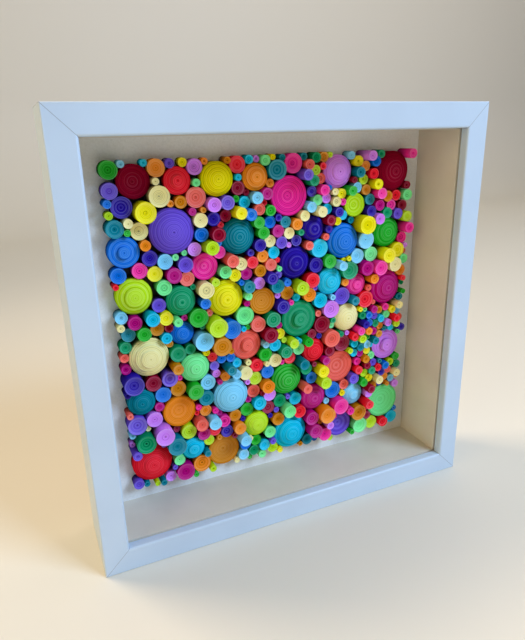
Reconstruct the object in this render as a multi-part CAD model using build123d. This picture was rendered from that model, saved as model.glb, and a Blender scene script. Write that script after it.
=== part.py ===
from build123d import *

import math
import os
import random

# Driving sizes in millimetres. The front looks along -Y, +Z is up,
# and the origin lies under the middle of the frame.
frame_side = 250.0
frame_depth = 50.0

# Rail section: a wall round the outside with a lip across its front.
wall_thickness = 9.0
face_width = 14.5
lip_thickness = 5.4
face_inner_radius = 1.2
face_outer_radius = 0.8

# Spacer strips that stand behind the lip and hold the card back.
spacer_reach = 15.0
spacer_clearance = 0.2
spacer_front_gap = 1.2

# Card and backboard, counted from the back of the frame.
back_recess = 2.7
backboard_thickness = 2.5
card_thickness = 0.8
board_clearance = 0.5

# Bent steel tabs that hold the backboard, two to a rail.
tab_width = 8.0
tab_thickness = 0.5
tab_buried = 6.0
tab_overhang = 9.5
tab_spacing = 120.0
tab_corner_cut = 2.0

# V-shaped nails across the mitres, driven in from the back.
nail_leg = 4.2
nail_thickness = 0.6
nail_length = 10.0
nail_half_angle = 60.0

# Toothed hanging plate riveted to the backboard.
hanger_length = 46.0
hanger_height = 9.0
hanger_thickness = 0.6
hanger_back_gap = 0.4
hanger_end = 8.0
hanger_step = 2.0
hanger_below_top = 40.0
tooth_pitch = 3.0
tooth_depth = 1.8
tooth_count = 8

# Rivets through the ends of the hanging plate.
rivet_head_radius = 2.2
rivet_head_thickness = 0.4
rivet_shank_radius = 1.2
rivet_sides = 8

# Paper coils on the card, inside a margin of bare card.
field_margin = 11.0
coil_gap = 0.15
layout_seed = 1

# Large coils, from the widest to the narrowest: one to each square of this side in the field.
large_spacing = 29.5
large_radius_most = 12.9
large_radius_least = 7.2
large_radius_curve = 0.9
large_tries = 250
large_sides = 12
large_height_least = 5.0
large_height_most = 8.0

# Share of the radius that the flat middle of a large coil takes, and its rise or fall.
dome_middle = 0.55
dome_rise = 0.38
dish_rim = 0.88
dish_middle = 0.4
dish_fall = 0.18
step_middle = 0.4
step_rise = 0.22
large_forms = ("dome", "dish", "dome", "dome", "step", "dome", "dish", "dome", "dome")

# Small coils, from the widest to the narrowest: one of each size to each square of this side.
small_sizes = 10
small_spacing = 33.9
small_radius_most = 5.8
small_radius_least = 2.6
small_radius_curve = 0.55
small_sides = 6

# Their heights are random. A curve above 1 keeps most of them low.
small_height_least = 7.5
small_height_most = 16.0
small_height_curve = 2.0

# Small coils above this radius have more sides.
wide_radius = 5.0
wide_sides = 8

colours = (
    "crimson",
    "red",
    "coral",
    "orange",
    "amber",
    "yellow",
    "cream",
    "lime",
    "green",
    "emerald",
    "mint",
    "teal",
    "turquoise",
    "sky",
    "blue",
    "navy",
    "violet",
    "lilac",
    "magenta",
    "pink",
)

# Lengths closer than this are equal.
rounding = 1e-6

# Places that follow from the driving sizes.
front = -frame_depth / 2
back = frame_depth / 2
middle_height = frame_side / 2
spacer_outset = wall_thickness + spacer_clearance
spacer_front = front + lip_thickness + spacer_front_gap
backboard_back = back - back_recess
backboard_front = backboard_back - backboard_thickness
card_front = backboard_front - card_thickness
board_side = frame_side - 2 * (wall_thickness + board_clearance)
field_half = frame_side / 2 - spacer_reach - field_margin
large_count = round((2 * field_half / large_spacing) ** 2)
small_per_size = round((2 * field_half / small_spacing) ** 2)


def block(x_range, y_range, z_range):
    size = [high - low for low, high in (x_range, y_range, z_range)]
    centre = [(high + low) / 2 for low, high in (x_range, y_range, z_range)]
    return Pos(*centre) * Box(*size)


def turned(shape, angle):
    """The shape turned about the frame's middle axis, from the bottom side to another side."""
    return Pos(0, 0, middle_height) * Rot(0, angle, 0) * Pos(0, 0, -middle_height) * shape


def mitred_bar(section):
    """The section, drawn in Y and Z, run along the bottom side and cut at 45 degrees."""
    bar = extrude(Plane.YZ * section, amount=frame_side / 2, both=True)
    reach = 1.5 * max(face_width, spacer_reach)
    half = frame_side / 2
    outline = Polyline(
        (-half, 0), (half, 0), (half - reach, reach), (-half + reach, reach), close=True
    )
    mitre = extrude(Plane.XZ * make_face(outline), amount=frame_depth, both=True)
    return (bar & mitre).solid()


def make_tab(x):
    """One flat tab with its free corners cut off, pressed into the bottom rail's wall."""
    low = wall_thickness - tab_buried
    high = wall_thickness + tab_overhang
    y_range = (backboard_back, backboard_back + tab_thickness)
    plate = block((x - tab_width / 2, x + tab_width / 2), y_range, (low, high))
    free_corners = plate.edges().filter_by(Axis.Y).group_by(Axis.Z)[-1]
    return chamfer(free_corners, tab_corner_cut).solid()


def make_nail():
    """A V of sheet steel across the mitre at the bottom left corner, its point to the inside."""
    centre = wall_thickness / 2
    legs = []
    for side in (-1, 1):
        leg = Pos(-nail_leg / 2, 0, 0) * Box(nail_leg, nail_length, nail_thickness)
        legs.append(Rot(0, side * nail_half_angle, 0) * leg)
    vee = Rot(0, -45, 0) * (legs[0] + legs[1])
    spread = nail_leg * math.cos(math.radians(nail_half_angle))
    point = centre + spread / 2 * math.cos(math.radians(45))
    place = (-frame_side / 2 + point, back - nail_length / 2, point)
    return (Pos(*place) * vee).solid()


def rounded_corner(section, corner, radius):
    nearest = section.vertices().sort_by_distance((*corner, 0))[0]
    return fillet(nearest, radius)


def make_rail(cutters):
    """The bottom rail, with the slots that its tabs and corner nails press into."""
    outline = Polyline(
        (front, 0),
        (back, 0),
        (back, wall_thickness),
        (front + lip_thickness, wall_thickness),
        (front + lip_thickness, face_width),
        (front, face_width),
        close=True,
    )
    section = rounded_corner(make_face(outline), (front, 0), face_outer_radius)
    section = rounded_corner(section, (front, face_width), face_inner_radius)
    rail = mitred_bar(section)
    for cutter in cutters:
        rail = rail - cutter
    return rail.solid()


def make_spacer():
    """The bottom spacer strip, from behind the lip to the card."""
    section = make_face(
        Polyline(
            (spacer_front, spacer_outset),
            (card_front, spacer_outset),
            (card_front, spacer_reach),
            (spacer_front, spacer_reach),
            close=True,
        )
    )
    return mitred_bar(section)


def make_hanger():
    """A plate with flat ends, a raised middle and teeth along the middle's lower edge."""
    half = hanger_length / 2
    rise = back_recess - hanger_back_gap - hanger_thickness
    step_start = half - hanger_end
    step_stop = step_start - hanger_step
    under = [(half, 0), (step_start, 0), (step_stop, rise)]
    under += [(-x, y) for x, y in reversed(under)]
    over = [(x, y + hanger_thickness) for x, y in reversed(under)]
    plate = extrude(make_face(Polyline(*under, *over, close=True)), amount=hanger_height)
    cut_depth = rise + 2 * hanger_thickness
    for index in range(tooth_count):
        x = (index - (tooth_count - 1) / 2) * tooth_pitch
        notch = Polyline(
            (x - tooth_pitch / 2, 0), (x + tooth_pitch / 2, 0), (x, tooth_depth), close=True
        )
        plate = plate - extrude(Plane.XZ * make_face(notch), amount=-cut_depth)
    base = frame_side - hanger_below_top - hanger_height
    return Pos(0, backboard_back, base) * plate


def rivet_places():
    x = (hanger_length - hanger_end) / 2
    z = frame_side - hanger_below_top - hanger_height / 2
    return [(-x, z), (x, z)]


def rivet_shank(x, z):
    length = backboard_thickness + hanger_thickness
    outline = RegularPolygon(rivet_shank_radius, rivet_sides)
    return extrude(Plane((x, backboard_front, z), z_dir=(0, 1, 0)) * outline, amount=length)


def make_rivet(x, z):
    head_plane = Plane((x, backboard_back + hanger_thickness, z), z_dir=(0, 1, 0))
    outline = RegularPolygon(rivet_head_radius, rivet_sides)
    head = extrude(head_plane * outline, amount=rivet_head_thickness)
    return (rivet_shank(x, z) + head).solid()


def make_board(y_range):
    half = board_side / 2
    return block((-half, half), y_range, (middle_height - half, middle_height + half))


def place_large_coils(chance):
    """Large coils spread evenly: each goes where it is furthest from those before it."""
    placed = []
    for index in range(large_count):
        share = (index / (large_count - 1)) ** large_radius_curve
        radius = large_radius_most + (large_radius_least - large_radius_most) * share
        reach = field_half - radius
        best, best_room = None, -math.inf
        for _ in range(large_tries):
            x, z = chance.uniform(-reach, reach), chance.uniform(-reach, reach)
            room = min([math.hypot(x - a, z - b) - r for a, b, r in placed], default=field_half)
            if room > best_room:
                best, best_room = (x, z), room
        if best_room >= radius + coil_gap:
            placed.append((best[0], best[1], radius))
    return placed


def touching_spots(first, second, radius):
    """The two places where a coil of this radius just clears both of the others."""
    (ax, az, ar), (bx, bz, br) = first, second
    to_first = ar + radius + coil_gap
    to_second = br + radius + coil_gap
    apart = math.hypot(bx - ax, bz - az)
    if apart > to_first + to_second:
        return []
    along = (to_first**2 - to_second**2 + apart**2) / (2 * apart)
    aside = math.sqrt(max(to_first**2 - along**2, 0))
    ux, uz = (bx - ax) / apart, (bz - az) / apart
    return [(ax + along * ux - s * uz, az + along * uz + s * ux) for s in (-aside, aside)]


def edge_spots(coil, radius):
    """The places where a coil of this radius just clears the other, at the edge of the field."""
    x, z, other_radius = coil
    reach = other_radius + radius + coil_gap
    spots = []
    for edge in (radius - field_half, field_half - radius):
        if abs(edge - x) < reach:
            step = math.sqrt(reach**2 - (edge - x) ** 2)
            spots += [(edge, z - step), (edge, z + step)]
        if abs(edge - z) < reach:
            step = math.sqrt(reach**2 - (edge - z) ** 2)
            spots += [(x - step, edge), (x + step, edge)]
    return spots


def third_gap(x, z, radius, placed):
    """The third smallest gap round a coil at this place, or None where it doesn't fit."""
    gaps = [field_half - radius - abs(x), field_half - radius - abs(z)]
    for a, b, r in placed:
        reach = radius + r + coil_gap
        if abs(x - a) < 3 * reach and abs(z - b) < 3 * reach:
            gaps.append(math.hypot(x - a, z - b) - reach)
    gaps.sort()
    return gaps[2] if gaps[0] > -rounding else None


def rated_spots(coil, others, radius, placed):
    """The free places against this coil and another or the edge, each with its third gap."""
    spots = edge_spots(coil, radius)
    for other in others:
        spots += touching_spots(coil, other, radius)
    rated = [(third_gap(x, z, radius, placed), x, z) for x, z in spots]
    return [spot for spot in rated if spot[0] is not None]


def place_small_coils(placed):
    """Small coils between the others, each in the snuggest place that is left."""
    placed = list(placed)
    for index in range(small_sizes):
        share = (index / (small_sizes - 1)) ** small_radius_curve
        radius = small_radius_most + (small_radius_least - small_radius_most) * share
        rated = []
        for number, coil in enumerate(placed):
            rated += rated_spots(coil, placed[:number], radius, placed)
        for _ in range(small_per_size):
            if not rated:
                break
            _, x, z = min(rated)
            placed.append((x, z, radius))
            clear = 2 * radius + coil_gap - rounding
            rated = [spot for spot in rated if math.hypot(spot[1] - x, spot[2] - z) > clear]
            rated += rated_spots(placed[-1], placed[:-1], radius, placed)
    return placed


def on_card(x, z, turn):
    """A coil's place on the card: its own Z points out of the card."""
    stand = Plane((x, card_front, middle_height + z), x_dir=(1, 0, 0), z_dir=(0, -1, 0))
    return stand.location * Rot(0, 0, turn)


def tapered(lower_radius, upper_radius, height):
    """A many-sided cone-like stretch that rises from Z = 0."""
    inset = (lower_radius - upper_radius) * math.cos(math.pi / large_sides)
    slope = math.degrees(math.atan2(inset, height))
    return extrude(RegularPolygon(lower_radius, large_sides), amount=height, taper=slope)


def make_large_coil(radius, height, form):
    """A wide coil: pushed out to a dome, pressed in to a dish, or raised in one step."""
    body = extrude(RegularPolygon(radius, large_sides), amount=height)
    if form == "dome":
        crown = tapered(radius, dome_middle * radius, dome_rise * radius)
        return (body + Pos(0, 0, height) * crown).solid()
    if form == "dish":
        hollow = tapered(dish_rim * radius, dish_middle * radius, dish_fall * radius)
        return (body - Pos(0, 0, height) * Rot(180, 0, 0) * hollow).solid()
    boss = extrude(RegularPolygon(step_middle * radius, large_sides), amount=step_rise * radius)
    return (body + Pos(0, 0, height) * boss).solid()


def small_outline(radius):
    return RegularPolygon(radius, wide_sides if radius > wide_radius else small_sides)


def colour_order(chance, count):
    """Each colour in turn, in a fresh order every round."""
    order = []
    while len(order) < count:
        deck = list(colours)
        chance.shuffle(deck)
        order += deck
    return order[:count]


def make_coils():
    """Every coil as its own solid, grouped by size and colour."""
    groups = {}
    chance = random.Random(layout_seed)
    large = place_large_coils(chance)
    small = place_small_coils(large)[len(large):]
    for index, colour in enumerate(colour_order(chance, len(large))):
        x, z, radius = large[index]
        height = chance.uniform(large_height_least, large_height_most)
        turn = chance.uniform(0, 360 / large_sides)
        form = large_forms[index % len(large_forms)]
        coil = on_card(x, z, turn) * make_large_coil(radius, height, form)
        groups.setdefault("large_coils_" + colour, []).append(coil)
    outlines = {radius: small_outline(radius) for _, _, radius in small}
    for index, colour in enumerate(colour_order(chance, len(small))):
        x, z, radius = small[index]
        share = chance.random() ** small_height_curve
        height = small_height_least + (small_height_most - small_height_least) * share
        turn = chance.uniform(0, 360 / small_sides)
        coil = on_card(x, z, turn) * extrude(outlines[radius], amount=height)
        groups.setdefault("small_coils_" + colour, []).append(coil)
    return groups


# The four sides, by the turn that takes the bottom side there.
sides = (("bottom", 0), ("left", 90), ("top", 180), ("right", 270))

nail = make_nail()
tabs = [make_tab(-tab_spacing / 2), make_tab(tab_spacing / 2)]
rail = make_rail(tabs + [nail, turned(nail, 270)])
spacer = make_spacer()

nodes = {}
for side_name, angle in sides:
    nodes["rail_" + side_name] = [turned(rail, angle)]
    nodes["spacer_" + side_name] = [turned(spacer, angle)]
nodes["corner_nails"] = [turned(nail, angle) for _, angle in sides]
nodes["backboard_tabs"] = [turned(tab, angle) for _, angle in sides for tab in tabs]

shanks = [rivet_shank(x, z) for x, z in rivet_places()]
nodes["backing_card"] = [make_board((card_front, backboard_front))]
nodes["backboard"] = [make_board((backboard_front, backboard_back)) - shanks]
nodes["hanger_plate"] = [make_hanger() - shanks]
nodes["hanger_rivets"] = [make_rivet(x, z) for x, z in rivet_places()]
nodes.update(make_coils())

os.makedirs("parts", exist_ok=True)
for name, shapes in nodes.items():
    group = Compound(label=name, children=[shape.solid() for shape in shapes])
    export_step(group, "parts/" + name + ".step")
print(len(nodes), "nodes,", sum(len(shapes) for shapes in nodes.values()), "solids")
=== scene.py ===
import math
import random

import bpy
from mathutils import Matrix, Vector


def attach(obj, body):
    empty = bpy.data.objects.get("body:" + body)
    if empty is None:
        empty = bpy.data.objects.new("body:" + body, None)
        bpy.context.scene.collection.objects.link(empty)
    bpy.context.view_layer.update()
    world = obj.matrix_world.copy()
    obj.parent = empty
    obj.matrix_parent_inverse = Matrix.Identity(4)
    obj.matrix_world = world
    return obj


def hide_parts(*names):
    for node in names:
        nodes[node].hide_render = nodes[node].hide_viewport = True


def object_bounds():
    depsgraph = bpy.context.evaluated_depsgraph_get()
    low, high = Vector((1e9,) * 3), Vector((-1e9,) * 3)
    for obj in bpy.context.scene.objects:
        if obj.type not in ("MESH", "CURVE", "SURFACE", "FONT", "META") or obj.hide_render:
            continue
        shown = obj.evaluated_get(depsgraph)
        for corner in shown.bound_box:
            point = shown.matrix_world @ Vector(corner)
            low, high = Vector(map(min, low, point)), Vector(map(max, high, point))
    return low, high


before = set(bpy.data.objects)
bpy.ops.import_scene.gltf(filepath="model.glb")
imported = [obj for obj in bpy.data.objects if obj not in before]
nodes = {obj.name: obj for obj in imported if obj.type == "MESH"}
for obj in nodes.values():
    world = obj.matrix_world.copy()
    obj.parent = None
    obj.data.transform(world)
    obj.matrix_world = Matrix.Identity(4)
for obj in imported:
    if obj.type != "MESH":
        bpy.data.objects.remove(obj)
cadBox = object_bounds()
mm = 0.001
sides = ("bottom", "left", "top", "right")
print("frame loaded:", len(nodes), "nodes")


def linear(hexColour):  # sRGB hex to the linear colour that Blender works in
    parts = [int(hexColour[i:i + 2], 16) / 255 for i in (0, 2, 4)]
    return tuple(c / 12.92 if c <= 0.04045 else ((c + 0.055) / 1.055) ** 2.4 for c in parts) + (1.0,)


def shaded(hexColour, amount):  # amount below 0 goes towards black, above 0 towards white
    target = 255 if amount > 0 else 0
    parts = [int(hexColour[i:i + 2], 16) for i in (0, 2, 4)]
    return "".join("%02x" % round(c + (target - c) * abs(amount)) for c in parts)


def addObject(name, data):
    thing = bpy.data.objects.new(name, data)
    bpy.context.scene.collection.objects.link(thing)
    return thing


def addNode(tree, kind, settings=None, links=None):  # links: input name or number to an output socket
    node = tree.nodes.new(kind)
    for name, value in (settings or {}).items():
        if isinstance(name, str) and hasattr(node, name):
            setattr(node, name, value)
        else:
            node.inputs[name].default_value = value
    for name, socket in (links or {}).items():
        tree.links.new(socket, node.inputs[name])
    return node


def startMaterial(name, hexColour, roughness, metallic=0.0):  # place: where on the object, in metres
    material = bpy.data.materials.new(name)
    material.use_nodes = True
    tree = material.node_tree
    shader = tree.nodes["Principled BSDF"]
    shader.inputs["Base Color"].default_value = linear(hexColour)
    shader.inputs["Roughness"].default_value = roughness
    shader.inputs["Metallic"].default_value = metallic
    place = addNode(tree, "ShaderNodeTexCoord").outputs["Object"]
    return material, tree, shader, place


def bumpFrom(tree, shader, height, finish):  # relief: how deep the bumps are, bump: how much of it shows
    settings = {"Strength": finish["bump"], "Distance": finish["relief"]}
    bump = addNode(tree, "ShaderNodeBump", settings, {"Height": height})
    tree.links.new(bump.outputs["Normal"], shader.inputs["Normal"])


def rampBetween(tree, factor, stops):  # stops: position to sRGB hex
    ramp = addNode(tree, "ShaderNodeValToRGB", links={"Fac": factor})
    elements = ramp.color_ramp.elements
    while len(elements) < len(stops):
        elements.new(0.5)
    for element, (position, hexColour) in zip(elements, sorted(stops.items())):
        element.position = position
        element.color = linear(hexColour)
    return ramp.outputs["Color"]


def fromMiddle(tree, place):  # how far across, and how far up or down, from the middle of the frame
    axes = addNode(tree, "ShaderNodeSeparateXYZ", links={0: place}).outputs
    middle = (cadBox[0].z + cadBox[1].z) / 2
    across = addNode(tree, "ShaderNodeMath", {"operation": "ABSOLUTE"}, {0: axes["X"]})
    lifted = addNode(tree, "ShaderNodeMath", {"operation": "SUBTRACT", 1: middle}, {0: axes["Z"]})
    upright = addNode(tree, "ShaderNodeMath", {"operation": "ABSOLUTE"}, {0: lifted.outputs[0]})
    return across.outputs[0], upright.outputs[0]


# The camera stands where the photograph was taken from. Its angles are in degrees.
camera = {
    "place": (-0.1406, -0.2893, 0.2347),
    "turnRight": 23.61,
    "lookDown": 18.61,
    "roll": -1.44,
    "lens": 31.0,
    "sensor": 36.0,
    "nearest": 10 * mm,
}


def makeCamera():
    data = bpy.data.cameras.new("photoCamera")
    data.lens = camera["lens"]
    data.sensor_width = camera["sensor"]
    data.clip_start = camera["nearest"]
    heading = Matrix.Rotation(math.radians(-camera["turnRight"]), 4, "Z")
    tilt = Matrix.Rotation(math.radians(90 - camera["lookDown"]), 4, "X")
    roll = Matrix.Rotation(math.radians(camera["roll"]), 4, "Z")
    eye = addObject("photoCamera", data)
    eye.matrix_world = Matrix.Translation(camera["place"]) @ heading @ tilt @ roll
    bpy.context.scene.camera = eye


makeCamera()
print("camera placed")


# A plain pale table top that runs back into a pale wall in one sweep. Rolled matt paint gives both an even
# tone with no gloss on it.
backdrop = {
    "floorReach": 2.2,
    "wallDistance": 1.5,
    "bendRadius": 0.35,
    "bendSteps": 16,
    "wallHeight": 1.8,
    "floorColour": "e0dacb",
    "wallColour": "e2dccf",
    "colourChange": 0.25,  # the height at which the floor's colour has become the wall's
    "roughness": 0.55,
}


def makeMattPaint():
    material, tree, shader, place = startMaterial(
        "rolledMattPaint", backdrop["floorColour"], backdrop["roughness"])
    height = addNode(tree, "ShaderNodeSeparateXYZ", links={0: place}).outputs["Z"]
    reach = {"From Max": backdrop["colourChange"]}
    upWall = addNode(tree, "ShaderNodeMapRange", reach, {"Value": height}).outputs[0]
    colour = rampBetween(tree, upWall, {0.0: backdrop["floorColour"], 1.0: backdrop["wallColour"]})
    tree.links.new(colour, shader.inputs["Base Color"])
    return material


def makeBackdrop():
    reach, bend = backdrop["floorReach"], backdrop["bendRadius"]
    start = backdrop["wallDistance"] - bend
    profile = [(-reach, 0.0), (start, 0.0)]
    for step in range(1, backdrop["bendSteps"] + 1):
        angle = math.radians(90) * step / backdrop["bendSteps"]
        profile.append((start + bend * math.sin(angle), bend * (1 - math.cos(angle))))
    profile.append((backdrop["wallDistance"], backdrop["wallHeight"]))
    points, faces = [], []
    for y, z in profile:
        points += [(-reach, y, z), (reach, y, z)]
    for i in range(len(profile) - 1):
        faces.append((2 * i, 2 * i + 1, 2 * i + 3, 2 * i + 2))
    mesh = bpy.data.meshes.new("backdrop")
    mesh.from_pydata(points, [], faces)
    for polygon in mesh.polygons:
        polygon.use_smooth = True
    mesh.materials.append(makeMattPaint())
    addObject("backdrop", mesh)


makeBackdrop()
print("backdrop made")


# Cool daylight from a window in front on the right, and warm room light from above, behind and the left.
# Power is in watts, spread in degrees.
lights = {
    "window": {
        "place": (0.92, -1.22, 1.26), "aim": (0, 0, 0.12),
        "size": 0.8, "spread": 180, "power": 37, "colour": "b9d5fa",
    },
    "ceiling": {
        "place": (0.9, 0.4, 1.9), "aim": (0.5, 0.9, 0.3),
        "size": 1.4, "spread": 180, "power": 14, "colour": "ffefd8",
    },
    "lamp": {
        "place": (-0.5, 0.4, 1.2), "aim": (0.1, -0.1, 0.0),
        "size": 0.35, "spread": 75, "power": 1.7, "colour": "ffe8c8",
    },
    "warmWall": {
        "place": (-1.75, -0.55, 0.8), "aim": (0, 0, 0.1),
        "size": 1.4, "spread": 180, "power": 15, "colour": "ffe9bb",
    },
}
sky = {"colour": "fff3e4", "strength": 0.15}


def makeLight(name, light):
    data = bpy.data.lights.new(name, "AREA")
    data.size = light["size"]
    data.spread = math.radians(light["spread"])
    data.energy = light["power"]
    data.color = linear(light["colour"])[:3]
    body = addObject(name, data)
    body.location = light["place"]
    aim = Vector(light["aim"]) - Vector(light["place"])
    body.rotation_euler = aim.to_track_quat("-Z", "Y").to_euler()


def makeSky():
    world = bpy.data.worlds.new("room")
    world.use_nodes = True
    background = world.node_tree.nodes["Background"]
    background.inputs["Color"].default_value = linear(sky["colour"])
    background.inputs["Strength"].default_value = sky["strength"]
    bpy.context.scene.world = world


for lightName, light in lights.items():
    makeLight(lightName, light)
makeSky()
bpy.context.scene.view_settings.view_transform = "Standard"
print("lights made")


def softenEdges(piece, width):  # a hair's breadth off each sharp edge, so that it catches the light
    weld = piece.modifiers.new("weld", "WELD")
    weld.merge_threshold = 0.001 * mm
    bevel = piece.modifiers.new("softEdges", "BEVEL")
    bevel.width = width
    bevel.segments = 2
    bevel.limit_method = "ANGLE"
    bevel.angle_limit = math.radians(40)


def dress(node, material, edge=None):
    piece = nodes[node]
    piece.data.materials.clear()
    piece.data.materials.append(material)
    if edge:
        softenEdges(piece, edge)


# Rails: fibreboard wrapped in smooth white foil, cut to a mitre and joined. The foil gives an even satin
# white, and the cuts a fine dark joint at each corner. Its white is painted bluish and a little grey: painted
# cool daylight laid into the colour. The foil's grain is drawn coarser than the real 0.2 mm, so that it
# shows.
rail = {
    # both whites carry painted cool daylight: bluer and greyer than the foil's own white
    "foil": "cadae8",
    "foilShadow": "c3d3e2",
    "cloud": 60 * mm,  # how far apart the slightly darker places of the foil are
    "joint": "98a0a8",
    "jointWidth": 0.26 * mm,
    "jointCore": 0.4,  # the share of that width that is fully dark
    "grain": 0.9 * mm,
    "relief": 0.02 * mm,
    "bump": 0.4,
    "roughness": 0.42,
    "edge": 0.18 * mm,
}


def makeFoil():
    material, tree, shader, place = startMaterial("whiteFoilPaintedCoolDaylight", rail["foil"], rail["roughness"])
    across, upright = fromMiddle(tree, place)
    apart = addNode(tree, "ShaderNodeMath", {"operation": "SUBTRACT"}, {0: across, 1: upright})
    toJoint = addNode(tree, "ShaderNodeMath", {"operation": "ABSOLUTE"}, {0: apart.outputs[0]})
    fade = {
        "From Min": rail["jointWidth"] * rail["jointCore"], "From Max": rail["jointWidth"],
        "To Min": 1.0, "To Max": 0.0,
    }
    joint = addNode(tree, "ShaderNodeMapRange", fade, {"Value": toJoint.outputs[0]}).outputs[0]
    cloud = addNode(
        tree, "ShaderNodeTexNoise", {"Scale": 1 / rail["cloud"], "Detail": 3.0}, {"Vector": place})
    tone = rampBetween(tree, cloud.outputs["Fac"], {0.35: rail["foilShadow"], 0.65: rail["foil"]})
    settings = {"data_type": "RGBA", 7: linear(rail["joint"])}
    colour = addNode(tree, "ShaderNodeMix", settings, {0: joint, 6: tone})
    tree.links.new(colour.outputs[2], shader.inputs["Base Color"])
    grain = addNode(
        tree, "ShaderNodeTexNoise", {"Scale": 1 / rail["grain"], "Detail": 2.0}, {"Vector": place})
    bumpFrom(tree, shader, grain.outputs["Fac"], rail)
    return material


foil = makeFoil()
for side in sides:
    dress("rail_" + side, foil, rail["edge"])
print("rails dressed")


# Spacer strips: fibreboard faced with matt white paper, glued on. It gives a soft warm white with no gloss.
# The fibres are drawn coarser than the real 0.1 mm.
spacer = {
    "paper": "ded6c6",
    "shade": "d6cdbc",
    "cloud": 25 * mm,
    "fibre": 0.7 * mm,
    "relief": 0.03 * mm,
    "bump": 0.5,
    "roughness": 0.7,
    "edge": 0.25 * mm,
}


def makeSpacerPaper():
    material, tree, shader, place = startMaterial(
        "whitePaperOnFibreboard", spacer["paper"], spacer["roughness"])
    cloud = addNode(
        tree, "ShaderNodeTexNoise", {"Scale": 1 / spacer["cloud"], "Detail": 4.0}, {"Vector": place})
    tone = rampBetween(tree, cloud.outputs["Fac"], {0.3: spacer["shade"], 0.7: spacer["paper"]})
    tree.links.new(tone, shader.inputs["Base Color"])
    fibre = addNode(
        tree, "ShaderNodeTexNoise", {"Scale": 1 / spacer["fibre"], "Detail": 3.0}, {"Vector": place})
    bumpFrom(tree, shader, fibre.outputs["Fac"], spacer)
    return material


spacerPaper = makeSpacerPaper()
for side in sides:
    dress("spacer_" + side, spacerPaper, spacer["edge"])
print("spacers dressed")


# White card, pressed smooth: a clean matt white with a faint fibre, drawn coarser than the real one. Under
# the coils it is painted dark grey: painted shade, as hardly any light gets down between the coils.
card = {
    "white": "f1f1ee",
    "shade": "e8e8e4",
    # painted shade: the card's colour under the field of coils
    "paintedShadeUnderCoils": "403b38",
    "darkFrom": 9.0 * mm,  # fully dark this far inside the outermost coils
    "darkTo": 2.5 * mm,  # and white again this far inside them
    "fibre": 1.2 * mm,
    "twist": 0.6,
    "relief": 0.02 * mm,
    "bump": 0.5,
    "roughness": 0.75,
}


def makeCard():
    material, tree, shader, place = startMaterial("smoothWhiteCardPaintedShade", card["white"], card["roughness"])
    settings = {"Scale": 1 / card["fibre"], "Detail": 4.0, "Distortion": card["twist"]}
    fibre = addNode(tree, "ShaderNodeTexNoise", settings, {"Vector": place}).outputs["Fac"]
    white = rampBetween(tree, fibre, {0.3: card["shade"], 0.6: card["white"]})
    coilNodes = [nodes[name] for name in nodes.keys() if "_coils_" in name]
    fieldHalf = max(abs(vertex.co.x) for node in coilNodes for vertex in node.data.vertices)
    across, upright = fromMiddle(tree, place)
    # Painted shade: dark grey inside the field of coils, fading to white near its edge.
    farther = addNode(tree, "ShaderNodeMath", {"operation": "MAXIMUM"}, {0: across, 1: upright})
    fade = {"From Min": fieldHalf - card["darkFrom"], "From Max": fieldHalf - card["darkTo"]}
    outsidePaintedShade = addNode(tree, "ShaderNodeMapRange", fade, {"Value": farther.outputs[0]}).outputs[0]
    settings = {"data_type": "RGBA", 6: linear(card["paintedShadeUnderCoils"])}
    colour = addNode(tree, "ShaderNodeMix", settings, {0: outsidePaintedShade, 7: white})
    tree.links.new(colour.outputs[2], shader.inputs["Base Color"])
    bumpFrom(tree, shader, fibre, card)
    return material


dress("backing_card", makeCard())
print("card dressed")


# Brown hardboard at the back: wood fibre pressed into a sheet, which leaves it mottled, with darker flecks.
board = {
    "brown": "8a6543",
    "dark": "6f4e31",
    "light": "9c7752",
    "fibre": 3.0 * mm,
    "twist": 1.5,
    "fleck": 1.1 * mm,
    "fleckShare": 0.25,
    "relief": 0.06 * mm,
    "bump": 0.6,
    "roughness": 0.68,
}


def makeHardboard():
    material, tree, shader, place = startMaterial("pressedHardboard", board["brown"], board["roughness"])
    settings = {"Scale": 1 / board["fibre"], "Detail": 6.0, "Distortion": board["twist"]}
    fibre = addNode(tree, "ShaderNodeTexNoise", settings, {"Vector": place}).outputs["Fac"]
    fleck = addNode(tree, "ShaderNodeTexVoronoi", {"Scale": 1 / board["fleck"]}, {"Vector": place})
    settings = {"operation": "MULTIPLY_ADD", 1: board["fleckShare"]}
    mixed = addNode(tree, "ShaderNodeMath", settings, {0: fleck.outputs["Distance"], 2: fibre}).outputs[0]
    tone = rampBetween(tree, mixed, {0.35: board["dark"], 0.6: board["brown"], 0.8: board["light"]})
    tree.links.new(tone, shader.inputs["Base Color"])
    bumpFrom(tree, shader, mixed, board)
    return material


dress("backboard", makeHardboard())
print("hardboard dressed")


# Zinc-plated sheet steel: bright grey from the plating, with duller patches in it, and fine lines across
# from rolling. The lines are drawn coarser than the real 0.05 mm.
steel = {
    "zinc": "b9bdc0",
    "dull": "9a9da0",
    "patch": 4 * mm,
    "line": 0.35 * mm,
    "lineStretch": 0.04,  # the smaller, the longer the lines run across the frame
    "relief": 0.01 * mm,
    "bump": 0.5,
    "roughness": 0.36,
    "roughnessSwing": 0.1,
    "edge": 0.1 * mm,
}


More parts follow.
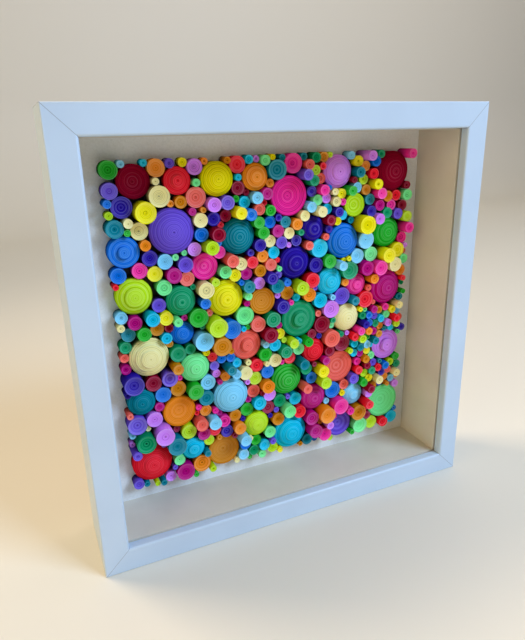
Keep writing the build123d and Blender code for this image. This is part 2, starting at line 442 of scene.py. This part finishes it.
def makeSteel():
    material, tree, shader, place = startMaterial(
        "zincPlatedSteel", steel["zinc"], steel["roughness"], metallic=1.0)
    stretch = {"Scale": (steel["lineStretch"], 1.0, 1.0)}
    stretched = addNode(tree, "ShaderNodeMapping", stretch, {"Vector": place}).outputs[0]
    lines = addNode(
        tree, "ShaderNodeTexNoise", {"Scale": 1 / steel["line"], "Detail": 2.0}, {"Vector": stretched})
    patch = addNode(
        tree, "ShaderNodeTexNoise", {"Scale": 1 / steel["patch"], "Detail": 3.0}, {"Vector": place})
    tone = rampBetween(tree, patch.outputs["Fac"], {0.35: steel["dull"], 0.65: steel["zinc"]})
    tree.links.new(tone, shader.inputs["Base Color"])
    swing = {
        "To Min": steel["roughness"] - steel["roughnessSwing"],
        "To Max": steel["roughness"] + steel["roughnessSwing"],
    }
    rough = addNode(tree, "ShaderNodeMapRange", swing, {"Value": lines.outputs["Fac"]})
    tree.links.new(rough.outputs[0], shader.inputs["Roughness"])
    bumpFrom(tree, shader, lines.outputs["Fac"], steel)
    return material


zinc = makeSteel()
for part in ("corner_nails", "backboard_tabs", "hanger_plate", "hanger_rivets"):
    dress(part, zinc, steel["edge"])
print("steel fittings dressed")


# Quilling paper, dyed in the pulp and cut into strips: matt and bright, and a little lighter where the cut
# edges show at the top of a coil. On top of the dye it carries painted highlight on ridges and rims, and
# painted shade in grooves, in the hole and down the sides. The fibres are drawn coarser than the real 0.1 mm.
paper = {
    "crimson": "980028",
    "red": "ff182c",
    "coral": "ff6654",
    "orange": "ff9012",
    "amber": "dc8400",
    "yellow": "fff000",
    "cream": "fff0a0",
    "lime": "c4ec10",
    "green": "1eb826",
    "emerald": "009a5e",
    "mint": "78f692",
    "teal": "008494",
    "turquoise": "00c6e6",
    "sky": "84daf8",
    "blue": "0070da",
    "navy": "2a14a0",
    "violet": "6e4ed2",
    "lilac": "e084f6",
    "magenta": "c2007a",
    "pink": "ff2a9c",
}
paperFinish = {
    # the light end is the lighter cut edge with painted highlight; the dark end below it is painted shade
    "cutEdgeAndHighlight": 0.4,
    "groove": -0.75,
    "fibre": 0.5 * mm,
    "relief": 0.02 * mm,
    "bump": 0.5,
    "roughness": 0.8,
    "shine": 0.05,
}


def makePaper(colourName, hexColour):  # a point's tone goes from 0, painted shade, to 1, a cut edge with painted highlight
    material, tree, shader, place = startMaterial(
        "dyedQuillingPaperPaintedLight_" + colourName, hexColour, paperFinish["roughness"])
    shader.inputs["Specular IOR Level"].default_value = paperFinish["shine"]
    tone = addNode(tree, "ShaderNodeAttribute", {"attribute_name": "tone"}).outputs["Fac"]
    deep, bright = (shaded(hexColour, paperFinish[end]) for end in ("groove", "cutEdgeAndHighlight"))
    colour = rampBetween(tree, tone, {0.0: deep, 0.5: hexColour, 1.0: bright})
    tree.links.new(colour, shader.inputs["Base Color"])
    fibre = addNode(
        tree, "ShaderNodeTexNoise", {"Scale": 1 / paperFinish["fibre"], "Detail": 3.0}, {"Vector": place})
    bumpFrom(tree, shader, fibre.outputs["Fac"], paperFinish)
    return material


# A coil node's outline is read in shares of its radius: points past the rim share are on its rim, and
# points inside the middle share belong to its dome, dish or step.
reading = {"rim": 0.95, "middle": 0.7, "level": 0.05 * mm}


def islandsOf(mesh):  # the mesh's points, in one list for each separate solid
    index, points, owner = {}, [], []
    for vertex in mesh.vertices:
        key = tuple(round(c / mm, 3) for c in vertex.co)
        if key not in index:
            index[key] = len(points)
            points.append(vertex.co.copy())
        owner.append(index[key])
    root = list(range(len(points)))

    def find(i):
        while root[i] != i:
            root[i] = root[root[i]]
            i = root[i]
        return i

    for polygon in mesh.polygons:
        ids = [owner[i] for i in polygon.vertices]
        for other in ids[1:]:
            root[find(other)] = find(ids[0])
    islands = {}
    for i, point in enumerate(points):
        islands.setdefault(find(i), []).append(point)
    return islands.values()


def measureCoil(points):  # heights are counted from the card, which is at y
    x = sum(p.x for p in points) / len(points)
    z = sum(p.z for p in points) / len(points)
    y = max(p.y for p in points)
    reach = [math.hypot(p.x - x, p.z - z) for p in points]
    radius = max(reach)
    outer = [p for p, r in zip(points, reach) if r > reading["rim"] * radius]
    inner = [p for p, r in zip(points, reach) if r < reading["middle"] * radius]
    rim = y - min(p.y for p in outer)
    top = y - min(p.y for p in points)
    if not inner:
        form = "peg"
    elif top < rim + reading["level"]:
        form = "dish"
    else:
        form = "step" if any(abs(y - p.y - rim) < reading["level"] for p in inner) else "dome"
    return {
        "x": x, "y": y, "z": z, "radius": radius, "rim": rim, "top": top, "form": form,
        "low": y - max(p.y for p in inner) if inner else rim,
        "middle": max([r for r in reach if r < reading["middle"] * radius], default=0.0),
    }


def readCoils(node):  # every coil of the node, from left to right
    coils = [measureCoil(points) for points in islandsOf(nodes[node].data)]
    return sorted(coils, key=lambda coil: (round(coil["x"], 6), round(coil["z"], 6)))


# How a coil's top is pushed out or pressed in. Where its note doesn't say otherwise, a value is a share of
# the coil's radius.
pressing = {
    "cup": (0.12, 0.36),  # how deep the top of a small coil is pressed in
    "cupMost": 0.4,  # but no more than this share of its height
    "cupPower": (1.6, 3.0),  # not a share: a higher power leaves a flatter middle
    "dishReach": 0.9,
    "stepOut": 0.03,  # how far the foot of a step stands outside the solid's inner ring
    "stepWidth": 0.05,
    "stepDroop": 0.04,  # how far a stepped coil's rim hangs down
    "ledges": ((0.38, 0.52), (0.64, 0.8)),  # rings where the turns of a dome slipped a little
    "ledgeCounts": (0, 1, 2, 2),  # how many of them a dome may have
    "ledgeDrop": (0.03, 0.07),
    "ledgeWidth": 0.03,
}


def clamped(value):
    return min(max(value, 0.0), 1.0)


def heightOver(coil, chance):  # how far the top stands off the card at each distance from the middle
    radius, rim, top = coil["radius"], coil["rim"], coil["top"]
    if coil["form"] == "peg":
        cup = min(chance.uniform(*pressing["cup"]) * radius, pressing["cupMost"] * rim)
        power = chance.uniform(*pressing["cupPower"])
        return lambda r: rim - cup * (1 - (r / radius) ** power)
    if coil["form"] == "dish":
        reach = pressing["dishReach"] * radius
        return lambda r: rim - (rim - coil["low"]) * max(0.0, 1 - (r / reach) ** 2)
    if coil["form"] == "step":
        edge = coil["middle"] + pressing["stepOut"] * radius

        def stepped(r):
            share = clamped((edge - r) / (pressing["stepWidth"] * radius))
            return rim + (top - rim) * share - pressing["stepDroop"] * radius * (r / radius) ** 4
        return stepped
    ledges = [chance.uniform(*span) for span in pressing["ledges"]]
    ledges = ledges[:chance.choice(pressing["ledgeCounts"])]
    drop = chance.uniform(*pressing["ledgeDrop"]) * radius

    def domed(r):
        share = r / radius
        height = rim + (top - rim) * (1 - share ** 2)
        for at in ledges:
            inside = 0.5 * share / at
            outside = -0.5 * (1 - share) / (1 - at)
            turn = clamped((share - at) / pressing["ledgeWidth"])
            height += drop * (inside * (1 - turn) + outside * turn)
        return height
    return domed


# Each coil is a strip wound from the middle outwards. One turn drawn here stands for about five real ones,
# because a strip 0.15 mm thick is too fine to show. A tone runs from 0, dark, to 1, light; besides a little
# random tone it holds painted shade and painted highlight.
winding = {
    "large": {
        "turn": 0.95 * mm,
        "steps": 56,
        "hole": (0.2 * mm, 0.35 * mm),
        "tone": 0.5,
        "paintedRimLight": -0.12,  # painted light: below 0 the rim is darker than the middle, above 0 lighter
        "bandStrength": (0.02, 0.08),
        "bandWidth": (1.4 * mm, 3.6 * mm),
    },
    "small": {
        "turn": 0.8 * mm,
        "steps": 30,
        "hole": (0.16 * mm, 0.3 * mm),
        "tone": 0.57,
        "paintedRimLight": 0.3,
        "bandStrength": (0.03, 0.08),
        "bandWidth": (1.0 * mm, 2.2 * mm),
    },
    "ridge": ((0.0, 0.0), (0.2, 1.0), (0.82, 1.0)),  # shares of a turn's width and of its ridge's height
    "ridgeHeight": 0.14 * mm,
    "bowLevel": 0.45,  # where the painted rim light adds nothing, as a share of the radius squared
    "grooveTone": 0.24,  # painted shade: how much darker a groove is than the ridge beside it
    "grooveLevel": 0.7,  # the share of the ridge's height at which the groove takes nothing away
    # the outermost turn's top is lighter: the lighter cut edge, with painted highlight
    "rimTone": 0.34,
    "drift": 0.09,  # how much one coil may be lighter or darker than the next
    "bands": 3,
    "rimDepth": 2.2,  # in ridge heights
    "taper": 0.99,
    "rimSide": 0.52,  # painted shade: the tones down a coil's side, darker towards the card
    "midSide": 0.27,
    "foot": 0.0,
    "holeDepth": 0.8 * mm,
    "holeMost": 0.6,  # but no more than this share of the height
    # painted shade: the floor of the hole is dark
    "holeFloor": 0.2,
    "seed": 7,
}


def toneBands(kind, chance):  # a few turns lighter or darker than the rest
    waves = []
    for _ in range(winding["bands"]):
        strength, width = chance.uniform(*kind["bandStrength"]), chance.uniform(*kind["bandWidth"])
        waves.append((strength, width, chance.uniform(0, 2 * math.pi)))
    return lambda r: sum(
        strength * math.sin(2 * math.pi * r / width + phase) for strength, width, phase in waves)


def windCoil(coil, chance, mesh):  # adds one coil's points, faces and tones to the mesh lists
    points, faces, tones = mesh
    kind = winding["small" if coil["form"] == "peg" else "large"]
    steps, ridge, ridgeHeight = kind["steps"], winding["ridge"], winding["ridgeHeight"]
    radius = coil["radius"]
    hole = chance.uniform(*kind["hole"])
    turns = max(2, round((radius - hole) / kind["turn"]))
    pitch = (radius - hole) / turns
    last = steps * (turns + 1)  # the step at which the strip's inner edge comes to the rim
    height = heightOver(coil, chance)
    start = chance.uniform(0, 2 * math.pi)
    way = chance.choice((-1, 1))
    drift = chance.uniform(-winding["drift"], winding["drift"])
    band = toneBands(kind, chance)
    found = {}

    def edgeRadius(step):
        return min(max(hole + pitch * (step / steps - 1), hole), radius)

    def angleAt(step):
        return start + way * 2 * math.pi * step / steps

    def put(r, h, angle, tone):
        points.append((coil["x"] + r * math.cos(angle), coil["y"] - h, coil["z"] + r * math.sin(angle)))
        tones.append(tone + drift)
        return len(points) - 1

    def corner(step, k):  # point k across the turn that starts at this step; the next turn shares its edge
        if k == len(ridge):
            step, k = step + steps, 0
        if step == 0:
            step, k = steps, 0
        if step == last or step == last + steps:
            step, k = last, 0
        if (step, k) not in found:
            inner, outer = edgeRadius(step), edgeRadius(step + steps)
            across, lift = ridge[k]
            width = (outer - inner) / pitch if step < last else 0
            r = inner + (outer - inner) * across
            tone = kind["tone"] + kind["paintedRimLight"] * ((r / radius) ** 2 - winding["bowLevel"]) + band(r)
            rimTone = winding["rimTone"] if step == last else 0
            tone += winding["grooveTone"] * (lift * min(width, 1) - winding["grooveLevel"]) + rimTone
            found[step, k] = put(r, height(r) - ridgeHeight + ridgeHeight * lift * width, angleAt(step), tone)
        return found[step, k]

    def face(*ids):
        unique = [i for n, i in enumerate(ids) if i not in ids[:n]]
        if len(unique) > 2:
            faces.append(unique if way > 0 else unique[::-1])

    def ring(r, h, tone):
        return [put(r, h, angleAt(i), tone) for i in range(steps)]

    def wall(upper, lower):
        for i in range(steps):
            j = (i + 1) % steps
            face(upper[i], lower[i], lower[j], upper[j])

    for step in range(last):
        for k in range(len(ridge)):
            face(corner(step, k), corner(step, k + 1), corner(step + 1, k + 1), corner(step + 1, k))
    rimRing = [corner(last + i, 0) for i in range(steps)]
    holeRing = [corner(i, 0) for i in range(steps)]
    side = ring(radius, height(radius) - winding["rimDepth"] * ridgeHeight, winding["rimSide"])
    middle = ring(radius * winding["taper"], 0.5 * height(radius), winding["midSide"])
    foot = ring(radius * winding["taper"], 0.0, winding["foot"])
    wall(rimRing, side)
    wall(side, middle)
    wall(middle, foot)
    face(*foot[::-1])
    depth = min(winding["holeDepth"], winding["holeMost"] * height(0))
    floor = ring(hole, height(hole) - depth, winding["holeFloor"])
    wall(floor, holeRing)
    face(*floor)


# The narrowest coils of all stand in the gaps that are left between the others. Lengths are in millimetres.
filler = {
    "radii": (2.5, 2.2, 1.95, 1.7),
    "gap": 0.12,
    "leastGap": 0.9,  # as a share of the gap, to leave room for rounding
    "height": (6.5, 11.0),
    "seed": 11,
}


def distance(coil, x, z):
    return math.hypot(x - coil["x"], z - coil["z"])


def spotsBetween(first, second, radius):  # where a coil just clears both others
    toFirst = first["radius"] + radius + filler["gap"] * mm
    toSecond = second["radius"] + radius + filler["gap"] * mm
    apart = distance(first, second["x"], second["z"])
    if apart > toFirst + toSecond or apart == 0:
        return []
    along = (toFirst ** 2 - toSecond ** 2 + apart ** 2) / (2 * apart)
    aside = math.sqrt(max(toFirst ** 2 - along ** 2, 0.0))
    ux, uz = (second["x"] - first["x"]) / apart, (second["z"] - first["z"]) / apart
    return [(first["x"] + along * ux - s * uz, first["z"] + along * uz + s * ux) for s in (-aside, aside)]


def fillGaps(placed, chance):  # the new narrow coils
    left = min(c["x"] - c["radius"] for c in placed)
    right = max(c["x"] + c["radius"] for c in placed)
    low = min(c["z"] - c["radius"] for c in placed)
    high = max(c["z"] + c["radius"] for c in placed)
    leastGap = filler["leastGap"] * filler["gap"] * mm
    everything, added = list(placed), []
    for radius in (r * mm for r in filler["radii"]):
        for i, first in enumerate(list(everything)):
            for second in everything[:i]:
                for x, z in spotsBetween(first, second, radius):
                    if not (left + radius < x < right - radius and low + radius < z < high - radius):
                        continue
                    if all(distance(c, x, z) > radius + c["radius"] + leastGap for c in everything):
                        height = chance.uniform(*filler["height"]) * mm
                        new = dict(first, x=x, z=z, radius=radius, form="peg")
                        new.update(rim=height, top=height, low=height)
                        everything.append(new)
                        added.append(new)
    return added


def buildCoils(node, coils, material, chance):
    points, faces, tones = [], [], []
    for coil in coils:
        windCoil(coil, chance, (points, faces, tones))
    data = bpy.data.meshes.new(node + "_wound")
    data.from_pydata(points, [], faces)
    data.attributes.new("tone", "FLOAT", "POINT").data.foreach_set("value", tones)
    data.materials.append(material)
    piece = addObject(node + "_wound", data)
    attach(piece, "root")
    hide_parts(node)


def makeCoils():
    chance = random.Random(winding["seed"])
    kinds = [(size, colourName) for colourName in paper for size in ("large", "small")]
    groups = {(size, colourName): readCoils(size + "_coils_" + colourName) for size, colourName in kinds}
    placed = [coil for group in groups.values() for coil in group]
    fillers = fillGaps(placed, random.Random(filler["seed"]))
    random.Random(filler["seed"]).shuffle(fillers)
    for i, colourName in enumerate(paper):
        groups["small", colourName] += fillers[i::len(paper)]
    materials = {colourName: makePaper(colourName, hexColour) for colourName, hexColour in paper.items()}
    for (size, colourName), group in groups.items():
        buildCoils(size + "_coils_" + colourName, group, materials[colourName], chance)
    print("coils wound:", len(placed) + len(fillers), "of them narrow fillers", len(fillers))


makeCoils()
